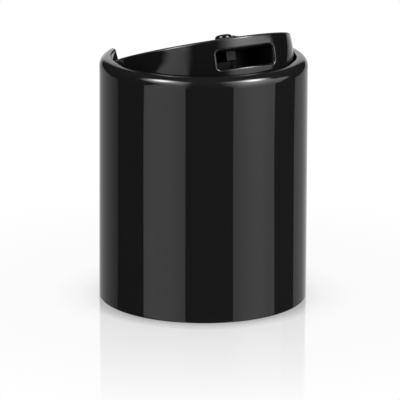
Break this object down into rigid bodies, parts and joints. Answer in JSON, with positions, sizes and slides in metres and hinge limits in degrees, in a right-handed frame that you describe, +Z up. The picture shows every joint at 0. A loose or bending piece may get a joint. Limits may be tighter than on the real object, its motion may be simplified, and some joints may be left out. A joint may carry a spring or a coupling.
{
  "type": "disc top dispensing cap",
  "caption": "Tall smooth press-top bottle cap, shown open: its round disc tilts on a cross axis and lifts a dispensing window over the rim.",
  "frame": {"origin": "centre of the foot of the skirt, at the bottom of the bounding box", "axes": "+Z up along the cap's axis, the spout side towards -Y, the disc's pivot axis along X"},
  "size_m": [0.0276, 0.0276, 0.0373],
  "materials": {
    "shell_plastic": "gloss",
    "disc_plastic": "gloss"
  },
  "bodies": {
    "shell": {"shell": "shell_plastic"},
    "disc": {"disc": "disc_plastic"}
  },
  "joints": [
    {"name": "disc_tilt", "type": "hinge", "parent": "shell", "child": "disc", "pos_m": [0, 0.003, 0.031], "axis": [1, 0, 0], "range_deg": [0, 19]}
  ]
}
